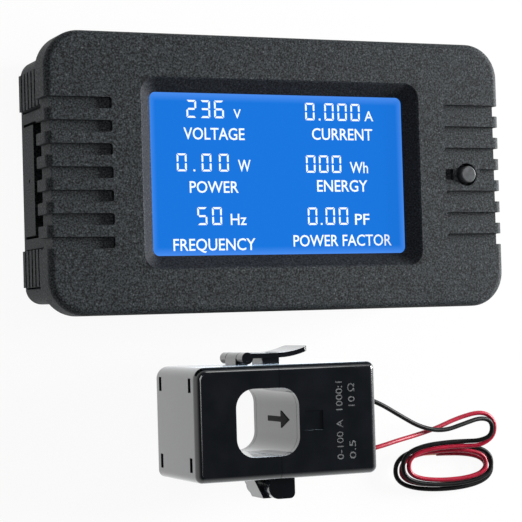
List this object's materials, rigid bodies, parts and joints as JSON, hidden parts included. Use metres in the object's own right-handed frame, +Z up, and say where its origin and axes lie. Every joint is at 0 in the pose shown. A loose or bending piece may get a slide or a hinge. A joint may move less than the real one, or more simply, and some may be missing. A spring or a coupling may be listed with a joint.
{
  "type": "ac power meter",
  "caption": "Panel power meter with a blue numeric display and push button, beside its clamp-on current transformer with a hinged jaw, latch strap and coiled leads.",
  "frame": {"origin": "middle of the underside of the meter and the transformer together, leads left out, on the surface they rest on", "axes": "+Z up out of the meter's face; +X along the meter to its button end; +Y from the transformer towards the meter"},
  "size_m": [0.0997, 0.0866, 0.0253],
  "materials": {
    "charcoal_plastic": "fine moulded texture",
    "grey_cap": "satin",
    "white_plastic": "satin",
    "clear_acrylic": "clear",
    "led": "clear",
    "display_glass": "blue negative display",
    "display_film": "satin",
    "tinned_metal": "bright tin",
    "board_green": "solder mask",
    "steel": "zinc plated",
    "chip_black": "moulded epoxy",
    "capacitor_box": "potted box",
    "can_aluminium": "drawn can",
    "resistor_body": "lacquer",
    "switch_body": "moulded",
    "switch_stem": "moulded",
    "terminal_green": "moulded",
    "nickel_brass": "nickel plated",
    "gloss_black": "polished mould",
    "core_metal": "cut laminations",
    "foam": "closed-cell foam",
    "bobbin_white": "satin",
    "enamelled_copper": "enamel",
    "black_lead": "soft insulation",
    "red_lead": "soft insulation",
    "copper": "bare strands"
  },
  "bodies": {
    "meter": {"front_bezel": "charcoal_plastic", "rear_housing": "charcoal_plastic", "display_holder": "white_plastic", "light_guide": "clear_acrylic", "backlight_leds": "led", "lcd_glass": "display_glass", "lcd_film": "display_film", "lcd_pins": "tinned_metal", "main_board": "board_green", "board_screws": "steel", "meter_chip": "chip_black", "controller_chip": "chip_black", "display_driver_chip": "chip_black", "film_capacitor": "capacitor_box", "smoothing_capacitor": "can_aluminium", "resistors": "resistor_body", "rectifier_diodes": "chip_black", "clock_crystal": "can_aluminium", "switch_body": "switch_body", "terminal_block": "terminal_green", "terminal_pins": "tinned_metal"},
    "button": {"button_cap": "grey_cap", "switch_plunger": "switch_stem"},
    "snap_tab_left_upper": {"snap_tab_left_upper": "charcoal_plastic"},
    "snap_tab_left_lower": {"snap_tab_left_lower": "charcoal_plastic"},
    "snap_tab_right_upper": {"snap_tab_right_upper": "charcoal_plastic"},
    "snap_tab_right_lower": {"snap_tab_right_lower": "charcoal_plastic"},
    "screw_1": {"terminal_screw_1": "steel"},
    "clamp_1": {"terminal_clamp_1": "nickel_brass"},
    "screw_2": {"terminal_screw_2": "steel"},
    "clamp_2": {"terminal_clamp_2": "nickel_brass"},
    "screw_3": {"terminal_screw_3": "steel"},
    "clamp_3": {"terminal_clamp_3": "nickel_brass"},
    "screw_4": {"terminal_screw_4": "steel"},
    "clamp_4": {"terminal_clamp_4": "nickel_brass"},
    "transformer": {"transformer_case": "gloss_black", "case_liner": "gloss_black", "fixed_core": "core_metal", "winding_bobbin": "bobbin_white", "winding": "enamelled_copper", "burden_board": "board_green", "burden_resistor": "chip_black", "clamp_diodes": "chip_black", "hinge_pin": "gloss_black", "black_lead": "black_lead", "black_lead_coil": "black_lead", "black_lead_tip": "copper", "red_lead": "red_lead", "red_lead_coil": "red_lead", "red_lead_tip": "copper"},
    "jaw": {"jaw_case": "gloss_black", "jaw_liner": "gloss_black", "moving_core": "core_metal", "core_pad": "foam", "latch_pin": "gloss_black"},
    "latch": {"latch_strap": "gloss_black"}
  },
  "joints": [
    {"name": "button_press", "type": "slide", "parent": "meter", "child": "button", "axis": [0, 0, -1], "range_m": [0, 0.00035], "stiffness_N_per_m": 3000},
    {"name": "snap_tab_left_upper_flex", "type": "hinge", "parent": "meter", "child": "snap_tab_left_upper", "pos_m": [-0.0415, 0.03327, 0.0026], "axis": [0, 1, 0], "range_deg": [0, 6], "stiffness_Nm_per_rad": 1},
    {"name": "snap_tab_left_lower_flex", "type": "hinge", "parent": "meter", "child": "snap_tab_left_lower", "pos_m": [-0.0415, 0.00128, 0.0026], "axis": [0, 1, 0], "range_deg": [0, 6], "stiffness_Nm_per_rad": 1},
    {"name": "snap_tab_right_upper_flex", "type": "hinge", "parent": "meter", "child": "snap_tab_right_upper", "pos_m": [0.0415, 0.03327, 0.0026], "axis": [0, -1, 0], "range_deg": [0, 6], "stiffness_Nm_per_rad": 1},
    {"name": "snap_tab_right_lower_flex", "type": "hinge", "parent": "meter", "child": "snap_tab_right_lower", "pos_m": [0.0415, 0.00128, 0.0026], "axis": [0, -1, 0], "range_deg": [0, 6], "stiffness_Nm_per_rad": 1},
    {"name": "screw_1_turn", "type": "hinge", "parent": "meter", "child": "screw_1", "pos_m": [-0.00762, -0.00032, 0], "axis": [0, 0, 1], "range_deg": [0, 1081]},
    {"name": "clamp_1_travel", "type": "slide", "parent": "meter", "child": "clamp_1", "axis": [0, 0, -1], "range_m": [0, 0.00135]},
    {"name": "screw_2_turn", "type": "hinge", "parent": "meter", "child": "screw_2", "pos_m": [-0.00254, -0.00032, 0], "axis": [0, 0, 1], "range_deg": [0, 1081]},
    {"name": "clamp_2_travel", "type": "slide", "parent": "meter", "child": "clamp_2", "axis": [0, 0, -1], "range_m": [0, 0.00135]},
    {"name": "screw_3_turn", "type": "hinge", "parent": "meter", "child": "screw_3", "pos_m": [0.00254, -0.00032, 0], "axis": [0, 0, 1], "range_deg": [0, 1081]},
    {"name": "clamp_3_travel", "type": "slide", "parent": "meter", "child": "clamp_3", "axis": [0, 0, -1], "range_m": [0, 0.00135]},
    {"name": "screw_4_turn", "type": "hinge", "parent": "meter", "child": "screw_4", "pos_m": [0.00762, -0.00032, 0], "axis": [0, 0, 1], "range_deg": [0, 1081]},
    {"name": "clamp_4_travel", "type": "slide", "parent": "meter", "child": "clamp_4", "axis": [0, 0, -1], "range_m": [0, 0.00135]},
    {"name": "transformer_lift", "type": "slide", "parent": "meter", "child": "transformer", "axis": [0, 0, 1], "range_m": [0, 0.12]},
    {"name": "jaw_open", "type": "hinge", "parent": "transformer", "child": "jaw", "pos_m": [0.0005, -0.04002, 0], "axis": [0, 0, 1], "range_deg": [0, 95], "deforming": ["latch_strap"]},
    {"name": "latch_lift", "type": "hinge", "parent": "jaw", "child": "latch", "pos_m": [-0.0051, -0.01603, 0], "axis": [0, 0, 1], "range_deg": [0, 25], "stiffness_Nm_per_rad": 0.02}
  ],
  "couplings": [
    {"joint": "screw_1_turn", "follows": "clamp_1_travel", "rad_per_m": 13963},
    {"joint": "screw_2_turn", "follows": "clamp_2_travel", "rad_per_m": 13963},
    {"joint": "screw_3_turn", "follows": "clamp_3_travel", "rad_per_m": 13963},
    {"joint": "screw_4_turn", "follows": "clamp_4_travel", "rad_per_m": 13963}
  ]
}
